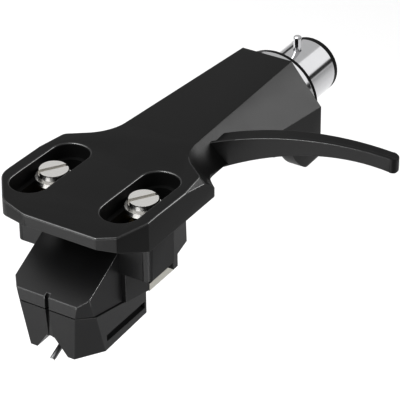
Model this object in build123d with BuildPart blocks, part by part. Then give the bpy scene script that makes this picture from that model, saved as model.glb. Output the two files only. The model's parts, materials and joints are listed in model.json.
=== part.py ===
"""Turntable headshell with a moving-magnet cartridge mounted in it.

Millimetres, +Z up, +X to the finger-lift side, +Y to the rear.
The origin lies on the axis of the bayonet connector, at the rear shoulder of its collar.
"""
import os
from math import cos, pi, radians, sin, tan

from build123d import *

os.makedirs("parts", exist_ok=True)

# Fits
fit = 0.02                  # gap of a fixed fit, on the radius
slip = 0.08                 # gap of a sliding fit, on each side
over = 1.0                  # how far a cut runs past the piece
clear = 100.0               # larger than the object, for cuts that run right through
soft = 0.3                  # edge rounding of small turned pieces, as a share of their size

# Headshell: plate
plate_width = 20.8
plate_front = -52.3         # front edge of the plate
plate_top = 8.4             # height of the plate's top over the connector axis
plate_thickness = 4.0
nose_edge = 1.5             # thickness of the plate at its front edge
nose_length = 6.1           # length of the slope under the nose
near_corner = [(0, 5.8), (1.3, 1.4), (3.3, 0)]  # cut corner on the lift side: in from the side, the front
near_corner_round = 0.5
far_cut = 6.1               # where the other corner's cut begins on the side, from the front
far_corner = [(-0.45, 1.4), (3.45, 0)]          # and how it goes on: in from the slot's middle, the front
far_corner_round = 3.0
plate_taper_start = -40.2   # from here the sides draw in
plate_taper = 0.95          # how far each side has drawn in at the rear corners
plate_rear = -34.5          # rear corners of the plate's top
plate_rear_round = 0.8
wing_end = -32.2            # rear corners of the plate's underside
wing_step = 3.0             # from there, slanting, to the stem's upright sides
edge_share = 0.125          # rounds of the top edges and slot rims, as a share of the wall beside the slots

# Headshell: stem
stem_rear = -2.2            # rear face of the stem, against the collar
crease = -44.5              # from here the top falls to the rear
stem_fall = 1.4             # how far the top has fallen at the rear
stem_top_front = 10.4       # width of the stem's top at the neck
stem_top_rear = 7.34
stem_low_front = 15.4       # width between the stem's upright sides
stem_low_rear = 16.5
flare = 39.9                # slope of the bevelled sides, from upright
bevel_depth = 7.2           # to below where the bevel meets the upright sides
neck = -31.0                # where plate and stem meet in plan
neck_radius = 7.0           # the bevel draws it in, so it is kept larger than the bevel's reach
wing_neck_radius = 2.4
arch_start = -25.2          # the underside falls from here to the rear block
block_front_low = -1.6      # height of the underside in front of the rear block
block_length = 7.4          # length of the rear block
block_bulge = (4.4, 1.7)    # the round underside's middle, from the rear end of the block's bottom
stem_bottom = -7.0
stem_round = 2.0
leg_inside = 12.0           # clear width between the rear block's legs
boss_diameter = 12.8        # round boss for the connector, between the legs
channel_front = -31.0       # open channel for the leads, under the stem
channel_rear = -9.4
channel_front_width = 10.6
channel_rear_width = 8.6
channel_top = 5.0
channel_round = 1.5

# Headshell: finger lift
lift_front = -25.1          # front edge of the lift where it leaves the bevel
lift_sweep = 0.3            # how far it runs back for each unit outwards
lift_tip = 27.35
lift_root = 5.0             # inside the stem
lift_leave = 7.0            # where the lift leaves the bevel
lift_root_width = 3.5
lift_tip_width = 2.1
lift_tip_round = 0.88
lift_crest_root = 6.75      # heights of the crest and of the underside along the lift
lift_crest = (16.4, 8.95)
lift_crest_tip = 7.75
lift_under_root = 2.6
lift_under = [(12.0, 5.72), (19.2, 7.05)]
lift_under_tip = 5.85
lift_lip = 0.6              # raised lip along the front edge
lift_lip_height = 0.3

# Cartridge screws
screw_spacing = 12.7
screw_y = -41.35
slot_y = -42.0
slot_run = 8.0              # distance between the slot's end centres
slot_width = 4.88
slot_through_width = 3.7
slot_ledge = 2.2            # depth of the washer's seat
screw_diameter = 2.5
screw_length = 6.4
head_diameter = 3.8
head_height = 1.05
head_round = 0.25
driver_slot_width = 0.55
driver_slot_depth = 0.6
driver_slot_turn = 56.0
washer_diameter = 4.5
washer_thickness = 0.6
insert_diameter = 3.6
insert_length = 3.6
insert_wall = 0.6           # moulded wall round each insert
insert_drop = 0.1           # inserts sit this far under the seat

# Connector
barrel_diameter = 8.0
barrel_length = 10.0
barrel_bore = 6.2
collar_diameter = 12.7
collar_round = 0.35
shank_diameter = 9.0
shank_length = 7.0
end_band = 0.8
end_band_round = 0.08
gasket_diameter = 12.5
gasket_thickness = 0.5
locator_y = 5.95
locator_diameter = 1.1
locator_height = 2.1
contact_pitch = 2.9
contact_diameter = 1.2
contact_proud = 0.9
contact_tail = 3.0
set_screw_diameter = 2.0
set_screw_y = -3.6
set_screw_depth = 0.5       # how far it bites into the shank
set_screw_recess = 0.2      # how far it lies under the boss's surface
hex_radius = 0.6
hex_depth = 0.9

# Cartridge body
mount_plane = plate_top - plate_thickness
ear_width = 18.9
ear_front = -45.2
ear_rear = -39.75
ear_height = 5.35
ear_corner = 0.9
nose_width = 10.5
nose_tip_y = -52.55         # lower front edge of the sloping face
nose_tip_z = -1.85
nose_slope = 27.3
nose_rear = -43.9
waist_width = 11.6          # body behind the nose, over the stylus unit
waist_front = -44.7
parting_front = -3.55       # height of the parting line at the front
parting_slope = 12.0
parting_gap = 0.08
facet_top = (4.3, -52.5, -1.8)
facet_inner = (2.9, -52.2, -10.0)
facet_outer = (5.4, -48.8, -9.6)
cue_slit_width = 0.5
cue_slit_depth = 0.5
cue_slit_top = -1.45
roof = 1.1
coil_room_width = 8.4
coil_room_front = -42.4
cover_rear = -36.9
cover_inset = 0.15         # the cover's sides, inside the ears' sides
cover_foot = -2.14
cover_drop = 0.1            # top of the cover, under the seat
cover_lean = 0.15
cover_chin_top = 1.2        # the cover's chin, over the ears' bottom
cover_chin_low = 0.5
cover_chin = 1.9            # how far it steps in under the chin
hood_rear = -33.4
hood_lip = 0.8              # black rim behind the shield can
can_wall = 0.3
can_top = -5.37
can_bottom = -6.4
pin_spacing = 3.8
pin_row_high = 1.0
pin_row_low = -2.6
pin_diameter = 1.1
pin_proud = 4.4
pin_root = 2.6
pin_wall = 1.4              # wall that holds the pins

# Generator
coil_y = -38.8
coil_diameter = 3.3
coil_height = 3.4
bobbin_flange = 0.4
bobbin_bore = 1.5
leg_width = 1.0

# Stylus unit
block_width = 10.8
block_rear = -39.85
block_bottom_front = -10.0
block_bottom_rear = -9.6
block_foot_y = -51.9
notch_top = -7.6
notch_top_width = 1.15
notch_bottom_width = 4.4
notch_rear = -47.5
grip_groove = 0.9
grip_depth = 0.6
grip_z = -8.3
grip_front = -48.3
grip_end = 0.35             # the grooves stop this far from the rear
arm_angle = 25.0            # rise of the stylus arm to the rear
arm_front_y = -52.0
arm_front_z = -11.0
arm_diameter = 0.66
arm_bore = 0.3
arm_length = 7.4
sleeve_diameter = 2.6
sleeve_bore = 2.2
sleeve_front = 5.2          # along the arm's axis, from the arm's front end
sleeve_length = 7.6
sleeve_seat = 7.4           # end of the sleeve's seat in the holder
pole_gap = 3.0
pole_thickness = 0.6
pole_height = 2.0
carrier_diameter = 0.9
carrier_length = 1.54
pivot_gap = 0.06            # between the carrier and the damper
magnet_width = 0.55
magnet_height = 0.4
magnet_length = 1.4
damper_diameter = 2.0
damper_thickness = 0.8
tie_diameter = 0.12
clamp_diameter = 2.16
clamp_length = 1.4
clamp_gap = 0.15            # behind the damper, so that it can tilt
diamond_width = 0.22
diamond_height = 0.5
diamond_shank = 0.55        # straight part, as a share of its height
diamond_tip = 0.06          # radius of its tip, as a share of its width

# Leads
lead_diameter = 0.9
clip_diameter = 1.7
clip_length = 4.0
clip_wall = 0.6             # closed end of a clip
lead_bow = 0.5              # how far a lead bows outwards
lead_rise = 0.9             # and upwards
lead_straight = 0.2         # straight run at each end, as a share of the span
bend_share = 0.45           # how much of each run a bend may take

# Worked out from the sizes above
half_plate = plate_width / 2
top_round = edge_share * (half_plate - screw_spacing / 2 - slot_width / 2)
top_slope = stem_fall / (stem_rear - crease)
nose_rise = (plate_thickness - nose_edge) / nose_length
bevel = tan(radians(flare))
tongue_width = pole_gap + 2 * pole_thickness + 4 * slip
tongue_height = sleeve_diameter + 4 * slip


def top_height(y):
    """Height of the headshell's top over a place along Y."""
    return plate_top - max(0.0, y - crease) * top_slope


def front_outline():
    """The plate's front with its cut corners, from the far side to the lift side."""
    far = [(inset - screw_spacing / 2, plate_front + setback) for inset, setback in far_corner]
    near = [(half_plate - inset, plate_front + setback) for inset, setback in near_corner]
    return [(-half_plate, plate_front + far_cut)] + far + near[::-1]


def round_front():
    """Take the sharpness off the corners of the plate's front."""
    for x, y in front_outline():
        corner = vertices().sort_by_distance((x, y, plate_top))[0]
        fillet(corner, near_corner_round if x > 0 else far_corner_round)


def on_top(edge):
    """Whether an edge runs along the headshell's top, other than across the crease or the rear end."""
    spots = [edge @ share for share in (0, 0.25, 0.5, 0.75, 1)]
    across = all(min(abs(spot.Y - crease), abs(spot.Y - stem_rear)) < 0.01 for spot in spots)
    return not across and all(abs(spot.Z - top_height(spot.Y)) < 0.01 for spot in spots)


def in_slot(edge):
    """Whether an edge lies round one of the screw slots."""
    middle = edge @ 0.5
    reach = slot_width / 2 + 0.01
    return (abs(abs(middle.X) - screw_spacing / 2) < reach
            and abs(middle.Y - slot_y) < slot_run / 2 + reach)


def on_arm(distance):
    """Point on the stylus arm's axis, at a distance from its front end."""
    rise = radians(arm_angle)
    return Vector(0, arm_front_y + distance * cos(rise), arm_front_z + distance * sin(rise))


def arm_plane(distance):
    """Plane square to the stylus arm, its normal along the arm to the rear, local Y upwards."""
    rise = radians(arm_angle)
    return Plane(origin=on_arm(distance), x_dir=(-1, 0, 0), z_dir=(0, cos(rise), sin(rise)))


def parting_height(y):
    """Height of the parting line between the cartridge body and the stylus unit."""
    return parting_front - (y - nose_tip_y) * tan(radians(parting_slope))


def write(piece, node):
    """Label a finished piece and write it as its own node."""
    piece.part.label = node
    export_step(piece.part, f"parts/{node}.step")


# Headshell
flat_top_front = stem_top_front / 2 - (plate_top - top_height(neck)) * bevel
flat_top_rear = stem_top_rear / 2 - stem_fall * bevel

with BuildPart() as flared:
    with BuildSketch(Plane.XY.offset(plate_top)):
        with BuildLine():
            side = [
                (half_plate, plate_taper_start),
                (half_plate - plate_taper, plate_rear),
                (flat_top_front, neck),
                (flat_top_rear, stem_rear),
            ]
            Polyline(*front_outline(), *side, *[(-x, y) for x, y in side[::-1]], close=True)
        make_face()
        round_front()
        fillet(vertices().filter_by(lambda v: abs(v.Y - plate_rear) < 0.01), plate_rear_round)
        fillet(vertices().filter_by(lambda v: abs(v.Y - neck) < 0.01), neck_radius)
    extrude(amount=-bevel_depth, taper=-flare)
    with Locations((0, (plate_front + stem_rear) / 2, plate_top - bevel_depth)):
        Box(clear, clear, clear, align=(Align.CENTER, Align.CENTER, Align.MAX))

# Finger lift: its arched outline from the front, narrowed to its outline from above
lift_root_y = lift_front - (lift_leave - lift_root) * lift_sweep
lift_tip_y = lift_front + (lift_tip - lift_leave) * lift_sweep

with BuildPart() as lift_hollow:
    with BuildSketch(Plane.XZ):
        with BuildLine():
            crest = ThreePointArc(
                (lift_root, lift_crest_root - lift_lip_height),
                (lift_crest[0], lift_crest[1] - lift_lip_height),
                (lift_tip, lift_crest_tip - lift_lip_height),
            )
            Polyline(crest @ 0, (lift_root, clear), (lift_tip, clear), crest @ 1)
        make_face()
    extrude(amount=clear, both=True)
    with BuildSketch(Plane.XY):
        with BuildLine():
            Polyline(
                (lift_root, lift_root_y + lift_lip),
                (lift_tip, lift_tip_y + lift_lip),
                (lift_tip, lift_tip_y + clear),
                (lift_root, lift_root_y + clear),
                close=True,
            )
        make_face()
    extrude(amount=clear, mode=Mode.INTERSECT)

with BuildPart() as lift:
    with BuildSketch(Plane.XZ):
        with BuildLine():
            upper = ThreePointArc((lift_root, lift_crest_root), lift_crest, (lift_tip, lift_crest_tip))
            lower = Spline((lift_root, lift_under_root), *lift_under, (lift_tip, lift_under_tip))
            Line(upper @ 0, lower @ 0)
            Line(upper @ 1, lower @ 1)
        make_face()
    extrude(amount=clear, both=True)
    with BuildSketch(Plane.XY):
        with BuildLine():
            Polyline(
                (lift_root, lift_root_y),
                (lift_tip, lift_tip_y),
                (lift_tip, lift_tip_y + lift_tip_width),
                (lift_root, lift_root_y + lift_root_width),
                close=True,
            )
        make_face()
    extrude(amount=clear, mode=Mode.INTERSECT)
    fillet(edges().filter_by(Axis.Z).group_by(Axis.X)[-1], lift_tip_round)
    add(lift_hollow.part, mode=Mode.SUBTRACT)

with BuildPart() as headshell:
    with BuildSketch(Plane.XY.offset(plate_top)):
        with BuildLine():
            side = [
                (half_plate, wing_end),
                (stem_low_front / 2, wing_end + wing_step),
                (stem_low_rear / 2, stem_rear),
            ]
            Polyline(*front_outline(), *side, *[(-x, y) for x, y in side[::-1]], close=True)
        make_face()
        round_front()
        fillet(vertices().filter_by(lambda v: abs(v.Y - wing_end) < 0.01), plate_rear_round)
        fillet(vertices().filter_by(lambda v: abs(v.Y - wing_end - wing_step) < 0.01), wing_neck_radius)
    extrude(amount=stem_bottom - plate_top)
    add(flared.part, mode=Mode.INTERSECT)
    # The top falls from the crease to the rear
    with BuildSketch(Plane.YZ):
        with BuildLine():
            Polyline(
                (crease, plate_top),
                (stem_rear + over, top_height(stem_rear + over)),
                (stem_rear + over, plate_top + over),
                (crease, plate_top + over),
                close=True,
            )
        make_face()
    extrude(amount=half_plate + over, both=True, mode=Mode.SUBTRACT)
    # Underside: sloping nose, flat seat for the cartridge, arch and rear block
    with BuildSketch(Plane.YZ):
        with BuildLine():
            under = ThreePointArc(
                (stem_rear - block_length, block_front_low),
                (stem_rear - block_bulge[0], stem_bottom + block_bulge[1]),
                (stem_rear, stem_bottom),
            )
            Polyline(
                under @ 1,
                (stem_rear + over, stem_bottom),
                (stem_rear + over, stem_bottom - over),
                (plate_front - over, stem_bottom - over),
                (plate_front - over, plate_top - nose_edge + nose_rise * over),
                (plate_front + nose_length, mount_plane),
                (arch_start, mount_plane),
                under @ 0,
            )
        make_face()
    extrude(amount=half_plate + over, both=True, mode=Mode.SUBTRACT)
    # Channel for the leads
    with BuildSketch(Plane.XY.offset(channel_top)):
        with BuildLine():
            edge = Polyline(
                (0, channel_front),
                (channel_front_width / 2, channel_front),
                (channel_rear_width / 2, channel_rear),
                (0, channel_rear),
            )
            mirror(edge, about=Plane.YZ)
        make_face()
        fillet(vertices(), channel_round)
    extrude(amount=stem_bottom - channel_top - over, mode=Mode.SUBTRACT)
    # Round lower corners of the rear block
    with BuildSketch(Plane.XZ.offset(-stem_rear)):
        for side in (-1, 1):
            corner = (side * stem_low_rear / 2, stem_bottom)
            with Locations(corner):
                Rectangle(2 * stem_round, 2 * stem_round)
            with Locations((corner[0] - side * stem_round, corner[1] + stem_round)):
                Circle(stem_round, mode=Mode.SUBTRACT)
                Rectangle(2 * stem_round, 4 * stem_round, align=(
                    Align.MAX if side > 0 else Align.MIN, Align.CENTER), mode=Mode.SUBTRACT)
                Rectangle(4 * stem_round, 4 * stem_round, align=(
                    Align.CENTER, Align.MIN), mode=Mode.SUBTRACT)
    extrude(amount=block_length, mode=Mode.SUBTRACT)
    # Open between the legs of the rear block, round the connector's boss
    with BuildSketch(Plane.XZ.offset(-stem_rear)):
        Rectangle(leg_inside, clear, align=(Align.CENTER, Align.MAX))
        Circle(boss_diameter / 2, mode=Mode.SUBTRACT)
    extrude(amount=clear, mode=Mode.SUBTRACT)
    add(lift.part)
    # Slots for the cartridge screws, each with a seat for its washer
    for side in (-1, 1):
        with BuildSketch(Plane.XY.offset(plate_top + over)):
            with Locations((side * screw_spacing / 2, slot_y)):
                SlotCenterToCenter(slot_run, slot_width, rotation=90)
        extrude(amount=-slot_ledge - over, mode=Mode.SUBTRACT)
        with BuildSketch(Plane.XY.offset(plate_top)):
            with Locations((side * screw_spacing / 2, slot_y)):
                SlotCenterToCenter(slot_run, slot_through_width, rotation=90)
        extrude(amount=-plate_thickness - over, mode=Mode.SUBTRACT)
    outline = edges().filter_by(on_top).filter_by(in_slot, reverse=True)
    fillet(outline, top_round)
    rims = edges().filter_by(on_top).filter_by(in_slot)
    fillet(rims, top_round)
    # Bore for the connector's shank and the set screw's thread
    with BuildSketch(Plane.XZ.offset(-stem_rear)):
        Circle(shank_diameter / 2 + fit)
    extrude(amount=shank_length + over, mode=Mode.SUBTRACT)
    with BuildSketch(Plane.XY.offset(stem_bottom - over)):
        with Locations((0, set_screw_y)):
            Circle(set_screw_diameter / 2 + fit)
    extrude(amount=-stem_bottom + over, mode=Mode.SUBTRACT)
write(headshell, "headshell")

# Connector
with BuildPart() as connector_sleeve:
    with BuildSketch(Plane.XY):
        with BuildLine():
            Polyline(
                (barrel_bore / 2, stem_rear - shank_length),
                (shank_diameter / 2, stem_rear - shank_length),
                (shank_diameter / 2, stem_rear),
                (collar_diameter / 2, stem_rear),
                (collar_diameter / 2, 0),
                (barrel_diameter / 2, 0),
                (barrel_diameter / 2, barrel_length - end_band),
                (barrel_bore / 2, barrel_length - end_band),
                close=True,
            )
        make_face()
        collar_edges = vertices().filter_by(lambda v: abs(v.X - collar_diameter / 2) < 0.01)
        fillet(collar_edges, collar_round)
    revolve(axis=Axis.Y)
    with BuildSketch(Plane.XY):
        with Locations((0, locator_y)):
            Circle(locator_diameter / 2 + fit)
    extrude(amount=barrel_diameter, mode=Mode.SUBTRACT)
    dimple = shank_diameter / 2 - set_screw_depth
    with BuildSketch(Plane.XY.offset(-dimple)):
        with Locations((0, set_screw_y)):
            Circle(set_screw_diameter / 2 + fit)
    extrude(amount=-shank_diameter, mode=Mode.SUBTRACT)
write(connector_sleeve, "connector_sleeve")

with BuildPart() as locating_pin:
    with BuildSketch(Plane.XY.offset(barrel_bore / 2 + fit)):
        with Locations((0, locator_y)):
            Circle(locator_diameter / 2)
    extrude(amount=(barrel_diameter - barrel_bore) / 2 + locator_height - fit)
    fillet(edges().group_by(Axis.Z)[-1], locator_diameter * soft)
write(locating_pin, "locating_pin")

with BuildPart() as connector_gasket:
    with BuildSketch(Plane.XZ):
        Circle(gasket_diameter / 2)
        Circle(barrel_diameter / 2 + fit, mode=Mode.SUBTRACT)
    extrude(amount=-gasket_thickness)
    fillet(edges().group_by(Axis.Y)[-1].sort_by(SortBy.LENGTH)[-1], gasket_thickness * soft)
write(connector_gasket, "connector_gasket")

contacts = {
    "red": (contact_pitch / 2, contact_pitch / 2),
    "white": (-contact_pitch / 2, contact_pitch / 2),
    "green": (contact_pitch / 2, -contact_pitch / 2),
    "blue": (-contact_pitch / 2, -contact_pitch / 2),
}
carrier_front = stem_rear - shank_length

with BuildPart() as contact_carrier:
    with BuildSketch(Plane.XZ.offset(-carrier_front)):
        Circle(barrel_bore / 2 - fit)
    extrude(amount=carrier_front - barrel_length + end_band)
    with BuildSketch(Plane.XZ.offset(end_band - barrel_length)):
        Circle(barrel_diameter / 2)
    extrude(amount=-end_band)
    fillet(edges().group_by(Axis.Y)[-1], end_band_round)
    with BuildSketch(Plane.XZ.offset(-carrier_front)):
        with Locations(*contacts.values()):
            Circle(contact_diameter / 2 + fit)
    extrude(amount=carrier_front - barrel_length, mode=Mode.SUBTRACT)
write(contact_carrier, "contact_carrier")

for colour, (x, z) in contacts.items():
    with BuildPart() as contact_pin:
        with BuildSketch(Plane.XZ.offset(contact_tail - carrier_front)):
            with Locations((x, z)):
                Circle(contact_diameter / 2)
        extrude(amount=carrier_front - contact_tail - barrel_length - contact_proud)
        fillet(edges().group_by(Axis.Y)[-1], contact_diameter * soft)
    write(contact_pin, f"contact_pin_{colour}")

set_screw_low = set_screw_recess - boss_diameter / 2
with BuildPart() as set_screw:
    with BuildSketch(Plane.XY.offset(set_screw_low)):
        with Locations((0, set_screw_y)):
            Circle(set_screw_diameter / 2)
    extrude(amount=-set_screw_low - dimple - fit)
    with BuildSketch(Plane.XY.offset(set_screw_low)):
        with Locations((0, set_screw_y)):
            RegularPolygon(hex_radius, 6)
    extrude(amount=hex_depth, mode=Mode.SUBTRACT)
write(set_screw, "connector_set_screw")

# Cartridge screws, washers and inserts
screw_places = [(side * screw_spacing / 2, screw_y) for side in (-1, 1)]
seat = plate_top - slot_ledge
head_seat = seat + washer_thickness

with BuildPart() as mounting_screws:
    for place in screw_places:
        with BuildSketch(Plane.XY.offset(head_seat)):
            with Locations(place):
                Circle(head_diameter / 2)
        extrude(amount=head_height)
        with BuildSketch(Plane.XY.offset(head_seat)):
            with Locations(place):
                Circle(screw_diameter / 2)
        extrude(amount=-screw_length)
        with BuildSketch(Plane.XY.offset(head_seat + head_height)):
            with Locations(place):
                Rectangle(head_diameter + over, driver_slot_width, rotation=driver_slot_turn)
        extrude(amount=-driver_slot_depth, mode=Mode.SUBTRACT)
    fillet(edges().filter_by(GeomType.CIRCLE).group_by(Axis.Z)[-1], head_round)
write(mounting_screws, "mounting_screws")

with BuildPart() as mounting_washers:
    with BuildSketch(Plane.XY.offset(seat)):
        with Locations(*screw_places):
            Circle(washer_diameter / 2)
            Circle(screw_diameter / 2 + fit, mode=Mode.SUBTRACT)
    extrude(amount=washer_thickness)
write(mounting_washers, "mounting_washers")

insert_top = mount_plane - insert_drop
with BuildPart() as threaded_inserts:
    with BuildSketch(Plane.XY.offset(insert_top)):
        with Locations(*screw_places):
            Circle(insert_diameter / 2)
            Circle(screw_diameter / 2 + fit, mode=Mode.SUBTRACT)
    extrude(amount=-insert_length)
write(threaded_inserts, "threaded_inserts")

# Cartridge body
facet_normal = (Vector(*facet_outer) - Vector(*facet_inner)).cross(
    Vector(*facet_top) - Vector(*facet_inner)).normalized()
facet = Plane(origin=facet_inner, z_dir=facet_normal)
left_facet = Plane(
    origin=(-facet_inner[0], facet_inner[1], facet_inner[2]),
    z_dir=(-facet_normal.X, facet_normal.Y, facet_normal.Z),
)
ear_bottom = mount_plane - ear_height
slope_reach = ear_front - nose_tip_y

with BuildPart() as cartridge_body:
    with BuildSketch(Plane.XY.offset(mount_plane)):
        with Locations((0, (ear_front + ear_rear) / 2)):
            Rectangle(ear_width, ear_rear - ear_front)
        fillet(vertices().group_by(Axis.Y)[0], ear_corner)
    extrude(amount=-ear_height)
    with BuildSketch(Plane.YZ):
        with BuildLine():
            Polyline(
                (nose_tip_y, nose_tip_z),
                (ear_front, nose_tip_z + slope_reach * tan(radians(nose_slope))),
                (nose_rear, nose_tip_z + slope_reach * tan(radians(nose_slope))),
                (nose_rear, parting_height(nose_rear)),
                (nose_tip_y, parting_front),
                close=True,
            )
        make_face()
    extrude(amount=nose_width / 2, both=True)
    with BuildSketch(Plane.YZ):
        with BuildLine():
            Polyline(
                (waist_front, ear_bottom),
                (ear_rear, ear_bottom),
                (ear_rear, parting_height(ear_rear)),
                (waist_front, parting_height(waist_front)),
                close=True,
            )
        make_face()
    extrude(amount=waist_width / 2, both=True)
    with BuildSketch(facet):
        Rectangle(clear, clear)
    extrude(amount=clear, mode=Mode.SUBTRACT)
    with BuildSketch(left_facet):
        Rectangle(clear, clear)
    extrude(amount=clear, mode=Mode.SUBTRACT)
    # Cue slit down the front
    with BuildSketch(Plane.XZ.offset(-nose_tip_y + over)):
        with Locations((0, cue_slit_top)):
            Rectangle(cue_slit_width, clear, align=(Align.CENTER, Align.MAX))
    extrude(amount=-over - cue_slit_depth, mode=Mode.SUBTRACT)
    # Room for the coils, open below and to the rear
    with BuildSketch(Plane.XY.offset(mount_plane - roof)):
        with Locations((0, coil_room_front)):
            Rectangle(coil_room_width, clear, align=(Align.CENTER, Align.MIN))
    extrude(amount=-clear, mode=Mode.SUBTRACT)
    # Way for the stylus unit's sleeve and the pole tips
    with BuildSketch(arm_plane(sleeve_seat)):
        Rectangle(tongue_width, tongue_height)
    extrude(amount=clear, mode=Mode.SUBTRACT)
    # Bosses and seats for the threaded inserts
    with BuildSketch(Plane.XY.offset(mount_plane)):
        with Locations(*screw_places):
            Circle(insert_diameter / 2 + insert_wall)
    extrude(amount=-ear_height)
    with BuildSketch(Plane.XY.offset(mount_plane)):
        with Locations(*screw_places):
            Circle(insert_diameter / 2 + fit)
    extrude(amount=-insert_length - insert_drop, mode=Mode.SUBTRACT)
    with BuildSketch(Plane.XY.offset(mount_plane)):
        with Locations(*screw_places):
            Circle(screw_diameter / 2 + slip)
    extrude(amount=-ear_height - over, mode=Mode.SUBTRACT)
write(cartridge_body, "cartridge_body")

pins = {
    "red": (pin_spacing / 2, pin_row_high),
    "white": (-pin_spacing / 2, pin_row_high),
    "green": (pin_spacing / 2, pin_row_low),
    "blue": (-pin_spacing / 2, pin_row_low),
}

cover_top = mount_plane - cover_drop
hood_front = ear_rear + fit
with BuildPart() as rear_cover:
    with BuildSketch(Plane.YZ):
        with BuildLine():
            Polyline(
                (ear_rear, cover_top),
                (cover_rear, cover_top),
                (cover_rear + cover_lean, ear_bottom + cover_chin_top),
                (cover_rear - cover_chin, ear_bottom + cover_chin_low),
                (cover_rear - cover_chin, cover_foot),
                (ear_rear, cover_foot),
                close=True,
            )
        make_face()
    extrude(amount=ear_width / 2 - cover_inset, both=True)
    with BuildSketch(Plane.XY.offset(ear_bottom + fit)):
        with Locations((0, ear_rear)):
            Rectangle(waist_width + 2 * fit, clear)
    extrude(amount=-clear, mode=Mode.SUBTRACT)
    with BuildSketch(Plane.XY.offset(cover_top)):
        with Locations((0, hood_front)):
            Rectangle(waist_width, hood_rear - hood_front, align=(Align.CENTER, Align.MIN))
    extrude(amount=can_top - cover_top)
    with BuildSketch(Plane.XY.offset(can_top)):
        with Locations((0, hood_rear)):
            Rectangle(waist_width, hood_lip, align=(Align.CENTER, Align.MAX))
    extrude(amount=can_bottom - can_top)
    with BuildSketch(Plane.XY.offset(mount_plane - roof)):
        with Locations((0, hood_rear - pin_wall)):
            Rectangle(coil_room_width, clear, align=(Align.CENTER, Align.MAX))
    extrude(amount=-clear, mode=Mode.SUBTRACT)
    # Clear of the body's bosses
    with BuildSketch(Plane.XY.offset(mount_plane)):
        with Locations(*screw_places):
            Circle(insert_diameter / 2 + insert_wall + fit)
    extrude(amount=-clear, mode=Mode.SUBTRACT)
    with BuildSketch(Plane.XZ.offset(-hood_rear)):
        with Locations(*pins.values()):
            Circle(pin_diameter / 2 + fit)
    extrude(amount=pin_root, mode=Mode.SUBTRACT)
write(rear_cover, "rear_cover")

for colour, (x, z) in pins.items():
    with BuildPart() as terminal_pin:
        with BuildSketch(Plane.XZ.offset(-hood_rear + pin_root)):
            with Locations((x, z)):
                Circle(pin_diameter / 2)
        extrude(amount=-pin_root - pin_proud)
        fillet(edges().group_by(Axis.Y)[-1], pin_diameter * soft)
    write(terminal_pin, f"terminal_pin_{colour}")

can_rear = hood_rear - hood_lip - fit
with BuildPart() as shield_can:
    with BuildSketch(Plane.XY.offset(can_top - fit)):
        with Locations((0, hood_front)):
            Rectangle(waist_width, can_rear - hood_front, align=(Align.CENTER, Align.MIN))
    extrude(amount=can_bottom - can_top + fit)
    with BuildSketch(Plane.XY.offset(can_top)):
        Rectangle(waist_width - 2 * can_wall, clear)
    extrude(amount=can_bottom - can_top + can_wall, mode=Mode.SUBTRACT)
    # Mouth for the pole tips
    with BuildSketch(Plane.XY.offset(can_bottom)):
        with Locations((0, hood_front - over)):
            Rectangle(tongue_width, coil_y + leg_width - hood_front + over, align=(Align.CENTER, Align.MIN))
    extrude(amount=can_wall + over, both=True, mode=Mode.SUBTRACT)
write(shield_can, "shield_can")

# Generator: one core with its coil for each channel
coil_top = mount_plane - roof - slip
leg_x = pole_gap / 2 + pole_thickness / 2
pole_start = sleeve_seat + 2 * slip
pole_end = (coil_y + leg_width / 2 - arm_front_y) / cos(radians(arm_angle))

for side, channel in ((1, "right"), (-1, "left")):
    with BuildPart() as pole_core:
        with BuildSketch(Plane.YZ.offset(side * leg_x)):
            tip = on_arm(pole_start)
            heel = on_arm(pole_end)
            with Locations(Location((tip.Y, tip.Z), arm_angle)):
                Rectangle((heel - tip).length, pole_height, align=(Align.MIN, Align.CENTER))
            with Locations((coil_y, heel.Z)):
                Rectangle(leg_width, coil_top - heel.Z, align=(Align.CENTER, Align.MIN))
        extrude(amount=pole_thickness / 2, both=True)
    write(pole_core, f"pole_core_{channel}")

    with BuildPart() as bobbin:
        for base in (coil_top - bobbin_flange, coil_top - coil_height - 2 * bobbin_flange):
            with BuildSketch(Plane.XY.offset(base)):
                with Locations((side * leg_x, coil_y)):
                    Circle(coil_diameter / 2)
            extrude(amount=bobbin_flange)
        with BuildSketch(Plane.XY.offset(coil_top)):
            with Locations((side * leg_x, coil_y)):
                Circle(bobbin_bore / 2 + bobbin_flange)
        extrude(amount=-coil_height - 2 * bobbin_flange)
        with BuildSketch(Plane.XY.offset(coil_top)):
            with Locations((side * leg_x, coil_y)):
                Circle(bobbin_bore / 2)
        extrude(amount=-coil_height - 2 * bobbin_flange, mode=Mode.SUBTRACT)
    write(bobbin, f"bobbin_{channel}")

    with BuildPart() as winding:
        with BuildSketch(Plane.XY.offset(coil_top - bobbin_flange - fit)):
            with Locations((side * leg_x, coil_y)):
                Circle(coil_diameter / 2 - fit)
                Circle(bobbin_bore / 2 + bobbin_flange + fit, mode=Mode.SUBTRACT)
        extrude(amount=-coil_height + 2 * fit)
    write(winding, f"winding_{channel}")

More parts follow.
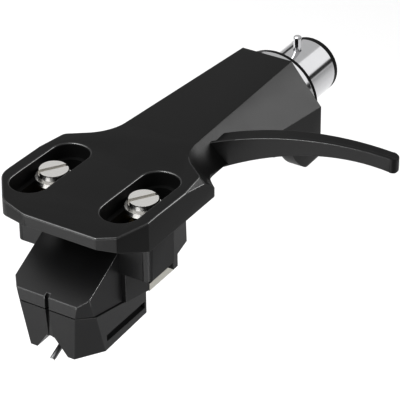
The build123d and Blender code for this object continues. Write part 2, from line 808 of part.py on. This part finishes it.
# Stylus unit: holder
with BuildPart() as stylus_holder:
    with BuildSketch(Plane.YZ):
        with BuildLine():
            Polyline(
                (nose_tip_y, parting_front - parting_gap),
                (block_foot_y, block_bottom_front),
                (block_rear, block_bottom_rear),
                (block_rear, parting_height(block_rear) - parting_gap),
                close=True,
            )
        make_face()
    extrude(amount=block_width / 2, both=True)
    with BuildSketch(facet):
        Rectangle(clear, clear)
    extrude(amount=clear, mode=Mode.SUBTRACT)
    with BuildSketch(left_facet):
        Rectangle(clear, clear)
    extrude(amount=clear, mode=Mode.SUBTRACT)
    with BuildSketch(Plane.XZ.offset(-nose_tip_y + over)):
        with Locations((0, notch_top - over)):
            Rectangle(cue_slit_width, clear, align=(Align.CENTER, Align.MIN))
    extrude(amount=-over - cue_slit_depth, mode=Mode.SUBTRACT)
    # V-notch round the stylus arm
    with BuildSketch(Plane.XZ.offset(-nose_tip_y + over)):
        with BuildLine():
            Polyline(
                (-notch_top_width / 2, notch_top),
                (notch_top_width / 2, notch_top),
                (notch_bottom_width / 2, block_bottom_front - fit),
                (notch_bottom_width / 2, block_bottom_front - over),
                (-notch_bottom_width / 2, block_bottom_front - over),
                (-notch_bottom_width / 2, block_bottom_front - fit),
                close=True,
            )
        make_face()
    extrude(amount=nose_tip_y - over - notch_rear, mode=Mode.SUBTRACT)
    # Finger grooves along both sides
    for side in (-1, 1):
        with BuildSketch(Plane.XZ.offset(-grip_front)):
            with Locations((side * block_width / 2, grip_z)):
                Rectangle(2 * grip_depth, grip_groove)
        extrude(amount=grip_front - block_rear + grip_end, mode=Mode.SUBTRACT)
    # Seat of the sleeve, and room for the pole tips behind it
    with BuildSketch(arm_plane(sleeve_front - over)):
        Circle(sleeve_diameter / 2 + fit)
    extrude(amount=sleeve_seat - sleeve_front + 2 * over, mode=Mode.SUBTRACT)
    with BuildSketch(arm_plane(sleeve_seat)):
        Rectangle(tongue_width, tongue_height)
    extrude(amount=clear, mode=Mode.SUBTRACT)
write(stylus_holder, "stylus_holder")

# Stylus unit: sleeve, damper and tie wire
pivot = arm_length + carrier_length + pivot_gap

with BuildPart() as stylus_sleeve:
    with BuildSketch(arm_plane(sleeve_front)):
        Circle(sleeve_diameter / 2)
        Circle(sleeve_bore / 2, mode=Mode.SUBTRACT)
    extrude(amount=sleeve_length)
write(stylus_sleeve, "stylus_sleeve")

with BuildPart() as damper_ring:
    with BuildSketch(arm_plane(pivot)):
        Circle(damper_diameter / 2)
        Circle(tie_diameter, mode=Mode.SUBTRACT)
    extrude(amount=damper_thickness)
write(damper_ring, "damper_ring")

clamp_front = pivot + damper_thickness + clamp_gap
with BuildPart() as tie_clamp:
    with BuildSketch(arm_plane(clamp_front)):
        Circle(clamp_diameter / 2)
        Circle(tie_diameter / 2 + fit, mode=Mode.SUBTRACT)
    extrude(amount=clamp_length)
write(tie_clamp, "tie_clamp")

with BuildPart() as tie_wire:
    with BuildSketch(arm_plane(pivot)):
        Circle(tie_diameter / 2)
    extrude(amount=clamp_front + clamp_length - pivot)
write(tie_wire, "tie_wire")

# Stylus unit: the arm and what swings with it
diamond_spot = on_arm(diamond_width * 2)
flat_z = diamond_spot.Z - arm_diameter / 4

with BuildPart() as stylus_arm:
    with BuildSketch(arm_plane(0)):
        Circle(arm_diameter / 2)
        Circle(arm_bore / 2, mode=Mode.SUBTRACT)
    extrude(amount=arm_length)
    with Locations((0, diamond_spot.Y, flat_z)):
        Box(2 * arm_diameter, 4 * diamond_width, 2 * arm_diameter, align=(
            Align.CENTER, Align.CENTER, Align.MAX), mode=Mode.SUBTRACT)
write(stylus_arm, "stylus_arm")

with BuildPart() as stylus_diamond:
    with BuildSketch(Plane.YZ):
        with BuildLine():
            Polyline(
                (diamond_spot.Y, flat_z),
                (diamond_spot.Y + diamond_width / 2, flat_z),
                (diamond_spot.Y + diamond_width / 2, flat_z - diamond_height * diamond_shank),
                (diamond_spot.Y + diamond_width * diamond_tip, flat_z - diamond_height),
                (diamond_spot.Y, flat_z - diamond_height),
                close=True,
            )
        make_face()
    revolve(axis=Axis((0, diamond_spot.Y, 0), (0, 0, 1)))
write(stylus_diamond, "stylus_diamond")

with BuildPart() as magnet_carrier:
    with BuildSketch(arm_plane(arm_length)):
        Circle(carrier_diameter / 2)
    extrude(amount=carrier_length)
write(magnet_carrier, "magnet_carrier")

for lean, channel in ((-45, "right"), (45, "left")):
    with BuildPart() as magnet:
        with BuildSketch(arm_plane(arm_length + (carrier_length - magnet_length) / 2)):
            with Locations(Location((0, 0), lean)):
                with Locations((0, carrier_diameter / 2)):
                    Rectangle(magnet_width, magnet_height, align=(Align.CENTER, Align.MIN))
        extrude(amount=magnet_length)
    write(magnet, f"magnet_{channel}")

# Leads, from the cartridge's pins to the connector's contacts, with a crimp clip at each end
pin_end = hood_rear + pin_proud
contact_end = carrier_front - contact_tail
for colour, (pin_x, pin_z) in pins.items():
    contact_x, contact_z = contacts[colour]
    start = (pin_x, pin_end + clip_wall, pin_z)
    finish = (contact_x, contact_end - clip_wall, contact_z)
    with BuildPart() as pin_clip:
        with BuildSketch(Plane.XZ.offset(-start[1])):
            with Locations((pin_x, pin_z)):
                Circle(clip_diameter / 2)
        extrude(amount=clip_length)
        with BuildSketch(Plane.XZ.offset(-pin_end)):
            with Locations((pin_x, pin_z)):
                Circle(pin_diameter / 2 + fit)
        extrude(amount=clip_length, mode=Mode.SUBTRACT)
    write(pin_clip, f"pin_clip_{colour}")

    with BuildPart() as contact_clip:
        with BuildSketch(Plane.XZ.offset(-finish[1])):
            with Locations((contact_x, contact_z)):
                Circle(clip_diameter / 2)
        extrude(amount=-contact_tail)
        with BuildSketch(Plane.XZ.offset(-contact_end)):
            with Locations((contact_x, contact_z)):
                Circle(contact_diameter / 2 + fit)
        extrude(amount=-contact_tail, mode=Mode.SUBTRACT)
    write(contact_clip, f"contact_clip_{colour}")

    outwards = 1 if pin_x > 0 else -1
    span = finish[1] - start[1]
    points = [
        start,
        (pin_x, start[1] + span * lead_straight, pin_z),
        (pin_x + outwards * lead_bow, start[1] + span / 2, (pin_z + contact_z) / 2 + lead_rise),
        (contact_x, finish[1] - span * lead_straight, contact_z),
        finish,
    ]
    bends = []
    for before, here, after in zip(points, points[1:], points[2:]):
        arriving = Vector(*here) - Vector(*before)
        leaving = Vector(*after) - Vector(*here)
        turn = radians(arriving.get_angle(leaving))
        bends.append(bend_share * min(arriving.length, leaving.length) / tan(turn / 2))
    with BuildPart() as lead:
        with BuildLine():
            route = FilletPolyline(*points, radius=bends)
        with BuildSketch(Plane(origin=start, z_dir=(0, 1, 0))):
            Circle(lead_diameter / 2)
        sweep()
    write(lead, f"lead_{colour}")
    section = pi * lead_diameter**2 / 4
    print(colour, "lead", round(route.length, 2), "mm, radii", [round(bend, 1) for bend in bends],
          "volume ratio", round(lead.part.volume / (section * route.length), 4))
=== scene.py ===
# %% [markdown]
# # A headshell and its cartridge, in a white studio
#
# The solids come from CAD in metres, in one frame: +Y runs along the connector to the rear, +Z is up, and
# the origin lies on the connector's axis. This script keeps their places and gives them soft edges,
# finishes, light and a camera. The box of the solids is kept, so that the dressed model can be compared
# with it.

# %% Load the frame
import json
from math import cos, pi, radians, sin

import bmesh
import bpy
from mathutils import Matrix, Vector


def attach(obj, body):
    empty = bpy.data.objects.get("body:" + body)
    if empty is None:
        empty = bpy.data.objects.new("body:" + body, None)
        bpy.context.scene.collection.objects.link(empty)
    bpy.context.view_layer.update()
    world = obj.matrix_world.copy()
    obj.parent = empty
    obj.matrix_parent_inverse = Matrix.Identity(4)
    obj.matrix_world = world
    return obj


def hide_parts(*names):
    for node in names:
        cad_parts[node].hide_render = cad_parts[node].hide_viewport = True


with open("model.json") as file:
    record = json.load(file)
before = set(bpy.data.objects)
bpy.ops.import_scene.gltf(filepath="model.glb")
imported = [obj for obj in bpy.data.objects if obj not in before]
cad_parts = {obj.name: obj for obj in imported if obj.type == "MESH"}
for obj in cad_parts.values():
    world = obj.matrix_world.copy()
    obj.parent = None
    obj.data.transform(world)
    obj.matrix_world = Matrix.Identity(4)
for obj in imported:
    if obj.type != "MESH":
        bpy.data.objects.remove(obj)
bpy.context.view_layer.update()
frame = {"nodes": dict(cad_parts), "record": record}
nodes = frame["nodes"]
MM = 0.001

# %% [markdown]
# ## Camera
#
# The photograph looks down on the plate from the front right, from about a quarter of a metre, through a
# long lens. A camera can be aimed with a constraint, but here its axes are worked out from azimuth,
# elevation and a small roll, because then each number can be compared with the photograph.

# %% Camera
AZIMUTH = radians(32.09)
ELEVATION = radians(31.77)
ROLL = radians(-0.5)
DISTANCE = 248.2 * MM
FOCAL_PIXELS = 2099
IMAGE_PIXELS = 400
SENSOR = 36.0
CLIP_START = 10 * MM
TARGET = Vector((9.327, -33.821, 4.4)) * MM

back = Vector((sin(AZIMUTH) * cos(ELEVATION), -cos(AZIMUTH) * cos(ELEVATION), sin(ELEVATION)))
level = Vector((cos(AZIMUTH), sin(AZIMUTH), 0))
upright = back.cross(level)
right = level * cos(ROLL) + upright * sin(ROLL)
up = upright * cos(ROLL) - level * sin(ROLL)

lens = bpy.data.cameras.new("camera")
lens.sensor_width = SENSOR
lens.lens = FOCAL_PIXELS / IMAGE_PIXELS * SENSOR
lens.clip_start = CLIP_START
camera = bpy.data.objects.new("camera", lens)
axes = Matrix((right, up, back)).transposed().to_4x4()
camera.matrix_world = Matrix.Translation(TARGET + back * DISTANCE) @ axes
bpy.context.collection.objects.link(camera)
bpy.context.scene.camera = camera
print("lens", round(lens.lens, 1), "mm")

# %% [markdown]
# ## Shader maths
#
# A finish is a small sum: a colour here, a little more roughness there. Nodes can be wired one by one,
# but a class that wraps a socket lets the sum be written as Python, and adds the Math nodes by itself.


# %% Values
class Value:
    """A number that changes over a surface: a socket with Python's operators."""

    def __init__(self, wiring, socket):
        self.wiring = wiring
        self.socket = socket

    def math(self, operation, first, second):
        return self.wiring.node("ShaderNodeMath", {"operation": operation}, [first, second])

    def __add__(self, other):
        return self.math("ADD", self, other)

    def __radd__(self, other):
        return self.math("ADD", other, self)

    def __sub__(self, other):
        return self.math("SUBTRACT", self, other)

    def __rsub__(self, other):
        return self.math("SUBTRACT", other, self)

    def __mul__(self, other):
        return self.math("MULTIPLY", self, other)

    def __rmul__(self, other):
        return self.math("MULTIPLY", other, self)

    def over(self, limit):
        return self.math("GREATER_THAN", self, limit)

    def under(self, limit):
        return self.math("LESS_THAN", self, limit)

    def either(self, other):
        return self.math("MAXIMUM", self, other)


# %% [markdown]
# ## Nodes and finishes
#
# Every other node comes from one method, which takes the node's type, its settings and its sockets. The
# settings are set first, because some of them change what the sockets are. A finish is a material whose
# patterns lie on Object coordinates. A UV map would do as well, but these need no unwrapping and stay on
# a piece that moves.


# %% Nodes and finishes
class Wiring:
    """Adds nodes to a node tree, a material's or the world's."""

    def __init__(self, tree):
        self.tree = tree

    def node(self, kind, settings, inputs, output=0):
        """One node: its settings first, then the values or links of its sockets."""
        made = self.tree.nodes.new(kind)
        for name, value in settings.items():
            if name == "stops":
                self.set_stops(made.color_ramp.elements, value)
            else:
                setattr(made, name, value)
        pairs = inputs.items() if isinstance(inputs, dict) else enumerate(inputs)
        for socket, value in pairs:
            if isinstance(value, Value):
                self.tree.links.new(value.socket, made.inputs[socket])
            else:
                made.inputs[socket].default_value = value
        return Value(self, made.outputs[output])

    def set_stops(self, elements, stops):
        """The stops of a colour ramp, from left to right."""
        while len(elements) < len(stops):
            elements.new(1.0)
        for element, (position, colour) in zip(elements, stops):
            element.position = position
            element.color = colour


class Finish(Wiring):
    """A procedural material on Object coordinates."""

    # A Mix node has sockets for each type of data, and these are the numbers of those for colours.
    SHARE = 0
    FIRST = 6
    SECOND = 7
    RESULT = 2

    def __init__(self, name, **sockets):
        self.material = bpy.data.materials.new(name)
        self.material.use_nodes = True
        super().__init__(self.material.node_tree)
        self.shader = self.tree.nodes["Principled BSDF"]
        for socket, value in sockets.items():
            title = socket.replace("_", " ").title().replace("Ior", "IOR")
            self.shader.inputs[title].default_value = value
        self.place = self.node("ShaderNodeTexCoord", {}, {}, "Object")

    def stretched(self, scale):
        """Object coordinates, stretched so that a pattern gets finer along an axis with a larger number."""
        return self.node("ShaderNodeMapping", {}, {"Vector": self.place, "Scale": scale})

    def noise(self, size, detail=2.0, place=None):
        """Soft random patches of about that size, in metres."""
        sockets = {"Vector": place or self.place, "Scale": 1 / size, "Detail": detail}
        return self.node("ShaderNodeTexNoise", {}, sockets)

    def blend(self, share, first, second):
        """A colour between two colours."""
        sockets = {self.SHARE: share, self.FIRST: (*first, 1), self.SECOND: (*second, 1)}
        return self.node("ShaderNodeMix", {"data_type": "RGBA"}, sockets, self.RESULT)

    def set(self, socket, value):
        """Let a value that changes over the surface feed one socket of the shader."""
        self.tree.links.new(value.socket, self.shader.inputs[socket])

    def bump(self, height, depth):
        """Raise the surface by height, from 0 to 1, times a depth in metres."""
        sockets = {"Height": height, "Distance": depth, "Strength": 1.0}
        self.set("Normal", self.node("ShaderNodeBump", {}, sockets))


finishes = {}

# %% [markdown]
# ## Black paint and black mouldings
#
# The casting is sprayed with a fine satin black. Close up such paint has a grain of about a tenth of a
# millimetre, and its gloss drifts a little over a few millimetres. The mouldings come from a spark-eroded
# mould with a finer grain. A picture could give such a grain, but noise needs none and has no seams. One
# function makes all of them, each with its own tones and grain. Rubber and magnets are rougher or paler
# kinds of it.

# %% Paint and mouldings
FINE_DETAIL = 3.0
DRIFT = 5 * MM


def satin_black(name, dark, pale, grain, rough, depth):
    """A black surface: dark and pale are its two tones, grain is the size of its specks in metres."""
    finish = Finish(name, specular_ior_level=0.3)
    speckle = finish.noise(grain, FINE_DETAIL)
    drift = finish.noise(DRIFT)
    finish.set("Base Color", finish.blend(speckle * 0.6 + drift * 0.4, dark, pale))
    # Noise lies round a half, so the sum lies round rough.
    finish.set("Roughness", rough - 0.05 + speckle * 0.06 + drift * 0.06)
    finish.bump(speckle, depth)
    return finish.material


blacks = {
    "black_paint": ((0.003, 0.003, 0.003), (0.008, 0.008, 0.008), 0.12 * MM, 0.40, 0.004 * MM),
    "body_plastic": ((0.004, 0.004, 0.0042), (0.010, 0.010, 0.0104), 0.07 * MM, 0.38, 0.002 * MM),
    "holder_plastic": ((0.005, 0.005, 0.0052), (0.012, 0.012, 0.0124), 0.08 * MM, 0.36, 0.002 * MM),
    "carrier_plastic": ((0.004, 0.004, 0.004), (0.010, 0.010, 0.010), 0.1 * MM, 0.45, 0.003 * MM),
    "rubber": ((0.006, 0.006, 0.006), (0.014, 0.014, 0.014), 0.15 * MM, 0.72, 0.006 * MM),
    "magnet": ((0.05, 0.05, 0.055), (0.09, 0.09, 0.095), 0.05 * MM, 0.45, 0.002 * MM),
}
for name, values in blacks.items():
    finishes[name] = satin_black(name, *values)
print("black finishes:", ", ".join(blacks))

# %% [markdown]
# ## Worn edges and painted edge highlights
#
# Fingers and sleeves polish the edges that they touch: the plate's upper edges, the slots' rims, the
# lift's ridge and the front of the cartridge. The stem's edges and those under the plate stay satin. The
# polish is a coat. Its weight could be painted on by hand, but here it is worked out from the place: 1 in
# those regions, 0 elsewhere. Every rounded edge, satin or polished, also takes a base colour a little
# lighter than the paint, which is partly wear and partly a painted highlight.

# %% Worn edges and painted edge highlights
NECK = -31.0 * MM
STEM_SIDE = 8.6 * MM
UPPER = 7.3 * MM
EAR_FRONT = -45.3 * MM
NOSE_FOLD = -2.2 * MM
SEAT = 4.3 * MM
worn_and_highlight = Finish("worn_and_highlight_edge", specular_ior_level=0.3, coat_roughness=0.22)
across, along, upward = [worn_and_highlight.node("ShaderNodeSeparateXYZ", {}, [worn_and_highlight.place], axis) for axis in "XYZ"]
on_top = along.under(NECK).either(across.over(STEM_SIDE)) * upward.over(UPPER)
on_nose = along.under(EAR_FRONT) * upward.over(NOSE_FOLD) * upward.under(SEAT)
scuffs = worn_and_highlight.noise(0.12 * MM, FINE_DETAIL)
# The base colour on every rounded edge is lighter than the paint: partly wear, partly a painted highlight.
worn_and_highlight.set("Base Color", worn_and_highlight.blend(scuffs, (0.008, 0.008, 0.008), (0.018, 0.018, 0.018)))
worn_and_highlight.set("Roughness", 0.38 + scuffs * 0.06)
worn_and_highlight.set("Coat Weight", on_top.either(on_nose) * (0.85 + scuffs * 0.15))
worn_and_highlight.bump(scuffs, 0.001 * MM)
print("worn edges:", len(worn_and_highlight.tree.nodes), "shader nodes")

# %% [markdown]
# ## Metals
#
# Turned, rolled and plated metal all show fine lines, but along different directions: rings round a
# turned piece, straight lines on rolled sheet. Anisotropic shading streaks the gloss alone. A noise that
# is stretched along one axis makes lines of either kind, and they also show close up. Plate hides most of
# them, so there the depth is tiny.

# %% Metals
RINGS_ALONG_Y = (300, 9000, 300)
LINES_ALONG_X = (500, 12000, 12000)
LINES_ALONG_Z = (9000, 9000, 600)
FINE_SPOTS = (8000, 8000, 8000)
CLOUD = 2 * MM


def metal(name, dull, bright, rough, scale, depth):
    """A metal with fine tool lines: scale gives how many of them fit in a metre along each axis."""
    finish = Finish(name, metallic=1.0)
    lines = finish.noise(1.0, FINE_DETAIL, finish.stretched(scale))
    cloud = finish.noise(CLOUD)
    finish.set("Base Color", finish.blend(lines * 0.5 + cloud * 0.5, dull, bright))
    finish.set("Roughness", rough - 0.04 + lines * 0.06 + cloud * 0.04)
    finish.bump(lines, depth)
    return finish.material


metals = {
    "chrome_plate": ((0.66, 0.66, 0.67), (0.74, 0.74, 0.75), 0.11, RINGS_ALONG_Y, 0.0004 * MM),
    "nickel": ((0.85, 0.84, 0.82), (0.95, 0.94, 0.92), 0.24, FINE_SPOTS, 0.001 * MM),
    "can_nickel": ((0.50, 0.49, 0.45), (0.62, 0.61, 0.57), 0.32, LINES_ALONG_X, 0.001 * MM),
    "dark_steel": ((0.05, 0.05, 0.055), (0.1, 0.1, 0.105), 0.4, FINE_SPOTS, 0.001 * MM),
    "brass": ((0.62, 0.45, 0.19), (0.78, 0.58, 0.28), 0.28, LINES_ALONG_Z, 0.001 * MM),
    "gold": ((0.78, 0.56, 0.22), (0.92, 0.70, 0.32), 0.2, RINGS_ALONG_Y, 0.0006 * MM),
    "core_alloy": ((0.44, 0.43, 0.41), (0.56, 0.55, 0.52), 0.34, LINES_ALONG_Z, 0.001 * MM),
    "aluminium": ((0.28, 0.28, 0.285), (0.40, 0.40, 0.405), 0.46, RINGS_ALONG_Y, 0.0008 * MM),
    "tie_steel": ((0.52, 0.52, 0.52), (0.66, 0.66, 0.66), 0.3, FINE_SPOTS, 0.0005 * MM),
}
for name, values in metals.items():
    finishes[name] = metal(name, *values)
print("metals:", ", ".join(metals))

# %% [markdown]
# ## Enamelled wire
#
# The coils are wound with hair-thin enamelled copper, so their side is a stack of fine rings along Z.
# Each turn could be modelled, but that is a great many faces for a piece inside the cartridge. A wave
# texture gives the rings their height, and a colour that is painted shade in the grooves between turns
# and a painted highlight on their crests.

# %% Windings
WIRE = 0.12 * MM
WAVES = 20 / (2 * pi)  # in one metre, at a scale of 1
winding = Finish("copper_wire", metallic=0.85)
turns_and_groove_shade = winding.node(
    "ShaderNodeTexWave", {"wave_type": "BANDS", "bands_direction": "Z", "wave_profile": "SIN"},
    {"Vector": winding.place, "Scale": 1 / (WIRE * WAVES), "Distortion": 0.6})
# Painted shade: darker copper in the grooves between turns; painted highlight: lighter copper on their
# crests.
winding.set("Base Color", winding.blend(turns_and_groove_shade, (0.30, 0.09, 0.03), (0.62, 0.25, 0.10)))
winding.set("Roughness", 0.42 - turns_and_groove_shade * 0.12)
winding.bump(turns_and_groove_shade, 0.03 * MM)
finishes["copper_wire"] = winding.material
print("windings:", len(winding.tree.nodes), "shader nodes")

# %% [markdown]
# ## Insulation, nylon and diamond
#
# The leads have a soft insulation with a slight bloom, and the nylon of the bobbins looks much the same.
# One colour would look like paint, so the bloom blends two. The diamond is clear and a little smoky.

# %% Small pieces
BLOOM = 0.9 * MM
SPECKS = 0.08 * MM
SMOKE = 0.1 * MM


def insulation(name, deep, light):
    """Soft plastic over a wire, with a little bloom in patches."""
    finish = Finish(name, specular_ior_level=0.45)
    bloom = finish.noise(BLOOM, FINE_DETAIL)
    specks = finish.noise(SPECKS)
    finish.set("Base Color", finish.blend(bloom, deep, light))
    finish.set("Roughness", 0.32 + bloom * 0.16)
    finish.bump(specks, 0.004 * MM)
    return finish.material


soft_plastics = {
    "bobbin_plastic": ((0.66, 0.62, 0.50), (0.78, 0.75, 0.66)),
    "lead_red": ((0.42, 0.015, 0.015), (0.58, 0.03, 0.028)),
    "lead_white": ((0.72, 0.71, 0.67), (0.84, 0.83, 0.80)),
    "lead_green": ((0.02, 0.22, 0.05), (0.04, 0.34, 0.09)),
    "lead_blue": ((0.02, 0.05, 0.34), (0.04, 0.09, 0.50)),
}
for name, values in soft_plastics.items():
    finishes[name] = insulation(name, *values)

gem = Finish("diamond", ior=2.42, transmission_weight=0.6, specular_ior_level=0.6)
smoke = gem.noise(SMOKE)
gem.set("Base Color", gem.blend(smoke, (0.62, 0.58, 0.48), (0.88, 0.86, 0.80)))
gem.set("Roughness", 0.04 + smoke * 0.08)
finishes["diamond"] = gem.material
print(len(finishes), "finishes")

# %% [markdown]
# ## Putting the finishes on
#
# The record says which finish each node takes, so a loop can dress them all. A solid whose shape is right
# keeps its own mesh, and only its material slot changes.

# %% Finishes on the nodes
slot_of = {piece["node"]: piece["material_slot"] for piece in frame["record"]["subparts"]}
for name, solid in nodes.items():
    finish = finishes[slot_of[name]]
    for slot in solid.material_slots:
        slot.material = finish
    if not solid.material_slots:
        solid.data.materials.append(finish)
print("dressed", len(slot_of), "nodes")

# %% [markdown]
# ## The casting's own rounds
#
# The casting has small rounds along the plate's top in CAD already, and they take the worn finish, with
# its partly painted highlight, as its sharp edges do. They could be picked by hand, but a test finds them:
# such a face leans, and it lies close under the top, which is level in front of a crease and slopes down
# behind it.

# %% Rounds along the top
CREASE = -44.5 * MM
TOP = 8.4 * MM
TOP_SLOPE = 1.4 / 42.3
ROUND = 0.21 * MM
UPRIGHT = 0.05
LEVEL = 0.99


def on_top_round(face):
    """Whether a face of the casting belongs to the small rounds along the plate's top."""
    depths = [TOP - max(0, corner.co.y - CREASE) * TOP_SLOPE - corner.co.z for corner in face.verts]
    behind = any(corner.co.y > NECK for corner in face.verts)
    return max(depths) < ROUND and UPRIGHT < face.normal.z < LEVEL and not behind


print("rounds reach", round(ROUND / MM, 2), "mm down from the top")

# %% [markdown]
# ## Soft edges
#
# Real castings and mouldings have no razor edges: each one is rounded by about a tenth of a millimetre,
# and that is what catches the light. A Bevel node in the shader rounds them in a render alone, and a
# Bevel modifier makes faces that last. A CAD mesh is loose triangles, so a copy is merged, its flat faces
# are joined, and its edges are bevelled. The copy stands for the solid and moves with its body. The new
# faces take the worn finish, whose lighter base colour is partly a painted highlight.

# %% Soft copies
bodies = frame["record"]["behaviour"]["bodies"]
body_of = {name: body for body, members in bodies.items() for name in members}
SAME_POINT = 0.0005 * MM
SAME_PLANE = radians(0.4)
SHARP = radians(25)
SHORTEST = 0.5 * MM
PAINTED = 0.09 * MM
MOULDED = 0.08 * MM


def soften(name, radius):
    """A copy of a node with smooth round faces and rounded edges."""
    mesh = bpy.data.meshes.new(f"{name}_soft")
    shape = bmesh.new()
    shape.from_mesh(nodes[name].data)
    bmesh.ops.remove_doubles(shape, verts=shape.verts, dist=SAME_POINT)
    bmesh.ops.dissolve_limit(
        shape, angle_limit=SAME_PLANE, verts=shape.verts, edges=shape.edges, delimit={"NORMAL"})
    for face in shape.faces:
        face.smooth = True
        face.material_index = int(name == "headshell" and on_top_round(face))
    weight = shape.edges.layers.float.new("bevel_weight_edge")
    for edge in shape.edges:
        edge.smooth = len(edge.link_faces) == 2 and edge.calc_face_angle(0) < SHARP
        edge[weight] = float(not edge.smooth and edge.is_convex and edge.calc_length() > SHORTEST)
    shape.to_mesh(mesh)
    shape.free()
    mesh.materials.append(finishes[slot_of[name]])
    mesh.materials.append(worn_and_highlight.material)
    soft = bpy.data.objects.new(f"{name}_soft", mesh)
    bpy.context.collection.objects.link(soft)
    round_edges = soft.modifiers.new("round_edges", "BEVEL")
    round_edges.width = radius
    round_edges.material = 1
    round_edges.segments = 3
    round_edges.limit_method = "WEIGHT"
    round_edges.harden_normals = True
    round_edges.use_clamp_overlap = False
    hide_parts(name)
    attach(soft, body_of[name])
    print(name, len(mesh.polygons), "faces")
    return soft


shell = soften("headshell", PAINTED)
cartridge = soften("cartridge_body", MOULDED)
holder = soften("stylus_holder", MOULDED)
cover = soften("rear_cover", MOULDED)

# %% [markdown]
# ## Floor
#
# The photograph has a plain white ground with no shadow. A sheet close under the object would catch one,
# so this wide pale sheet lies far below it. It is part of the stage, not of the object.

# %% Floor
FLOOR_HEIGHT = -0.16
FLOOR_REACH = 4.0
PALE = (0.79, 0.79, 0.79, 1)
shape = bmesh.new()
bmesh.ops.create_grid(shape, x_segments=1, y_segments=1, size=FLOOR_REACH)
bmesh.ops.translate(shape, verts=shape.verts, vec=(0, 0, FLOOR_HEIGHT))
floor_mesh = bpy.data.meshes.new("floor")
shape.to_mesh(floor_mesh)
shape.free()
floor = bpy.data.objects.new("floor", floor_mesh)
bpy.context.collection.objects.link(floor)
floor_finish = Finish("floor", base_color=PALE, roughness=0.9)
floor_mesh.materials.append(floor_finish.material)
print("floor at", FLOOR_HEIGHT, "m")

# %% [markdown]
# ## Room
#
# The room is a white tent. It could be a mesh round the object, but the world's colour does the same with
# a ramp on the height of the direction, from 0 at the horizon to 1 overhead. A dark gap just over the
# horizon draws the one dark line along the bright barrel. The picture's gamma is lowered a little,
# because the photograph has deep blacks beside pure white.

# %% Room
TENT = (0.75, 0.75, 0.75, 1)
GAP = (0.08, 0.08, 0.08, 1)
HEIGHTS = [(0.0, TENT), (0.05, GAP), (0.17, GAP), (0.20, TENT)]
PICTURE_GAMMA = 0.7
room = bpy.data.worlds.new("room")
room.use_nodes = True
walls = Wiring(room.node_tree)
direction = walls.node("ShaderNodeTexCoord", {}, {}, "Generated")
height = walls.node("ShaderNodeSeparateXYZ", {}, [direction], "Z")
tones = walls.node("ShaderNodeValToRGB", {"stops": HEIGHTS}, {"Fac": height}, "Color")
walls.tree.links.new(tones.socket, walls.tree.nodes["Background"].inputs["Color"])
bpy.context.scene.world = room
bpy.context.scene.view_settings.view_transform = "Standard"
bpy.context.scene.view_settings.gamma = PICTURE_GAMMA
print("room:", len(HEIGHTS), "stops on its ramp")

# %% [markdown]
# ## Light panels
#
# Black paint shows little but what it mirrors, so each panel stands where some of the faces mirror it.
# One is overhead for the nose, and one right and behind for the casting's bevelled side. Low ones light
# the upright faces: in front, in front on the right for the holder's slanted corner, and behind on the
# right for the sides of holder and cover. Three more draw the worn edges. A world picture could light all
# of it at once, but such panels must be strong, and bright metal would turn white under them. So each
# panel has a list of the pieces that it lights: the overhead one leaves out the screws, and the barrel
# has a weak one of its own.

# %% Light
MIDDLE = Vector((0, -0.03, 0))


def panel(name, place, width, height, glow, pieces):
    """A soft light panel that faces the object: glow is its brightness beside a white floor."""
    light = bpy.data.lights.new(name, "AREA")
    light.shape = "RECTANGLE"
    light.size = width
    light.size_y = height
    light.energy = glow * pi * width * height
    lamp = bpy.data.objects.new(name, light)
    lamp.location = place
    lamp.rotation_euler = (Vector(place) - MIDDLE).to_track_quat("Z", "Y").to_euler()
    lamp.visible_camera = False
    bpy.context.collection.objects.link(lamp)
    lit = bpy.data.collections.new(f"{name}_lights")
    for piece in pieces:
        lit.objects.link(piece)
    lamp.light_linking.receiver_collection = lit


mouldings = [cartridge, holder, cover]
plated = [nodes[name] for name, slot in slot_of.items() if slot == "nickel"]
others = [piece for piece in bpy.data.objects if piece.type == "MESH" and piece not in plated]
panel("overhead_panel", (-0.27, -0.22, 0.6), 0.7, 0.9, 3.6, others)
panel("front_panel", (0.0, -0.22, -0.14), 0.5, 0.2, 4.3, [shell, *mouldings])
panel("right_panel", (0.42, 0.50, 0.245), 0.5, 0.4, 7.0, [shell])
panel("front_edge_panel", (-0.32, -0.56, 0.44), 0.5, 0.3, 4.0, [shell, *mouldings])
panel("right_edge_panel", (0.64, 0.09, 0.47), 0.35, 0.35, 30.0, mouldings)
panel("facet_panel", (0.24, -0.18, -0.13), 0.12, 0.12, 14.0, mouldings)
panel("side_panel", (0.13, 0.19, -0.145), 0.25, 0.2, 1.5, [holder, cover])
panel("ridge_panel", (-0.06, -0.45, 0.60), 0.3, 0.2, 26.0, [shell])
panel("barrel_panel", (0.38, 0.6, 0.45), 0.6, 0.6, 0.45, [nodes["connector_sleeve"]])
print("panels:", ", ".join(light.name for light in bpy.data.lights))
